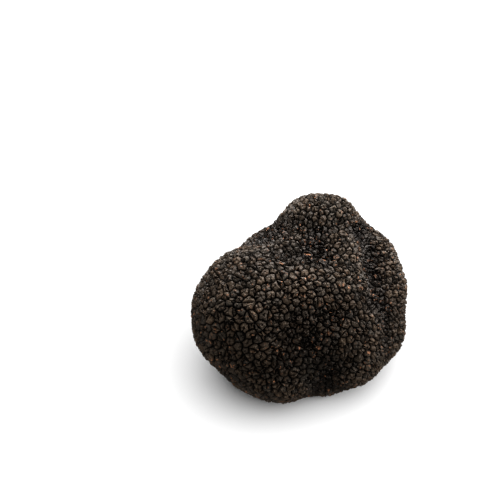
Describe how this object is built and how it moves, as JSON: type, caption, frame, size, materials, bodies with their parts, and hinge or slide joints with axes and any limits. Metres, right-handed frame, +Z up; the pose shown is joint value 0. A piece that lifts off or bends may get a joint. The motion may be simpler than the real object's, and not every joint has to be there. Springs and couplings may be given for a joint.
{
  "type": "black truffle",
  "caption": "Whole fresh black truffle: a firm lumpy tuber of rounded lobes with soft furrows, covered all round in small polygonal dark warts, resting on a small flat spot.",
  "frame": {"origin": "on the surface it rests on, under the middle of the tuber's box", "axes": "+Z up, +X to the right along the tuber's long way, -Y to the front, where the largest lobe is"},
  "size_m": [0.0604, 0.0552, 0.0437],
  "materials": {
    "peridium": "satin"
  },
  "bodies": {
    "root": {"truffle": "peridium"}
  },
  "joints": []
}
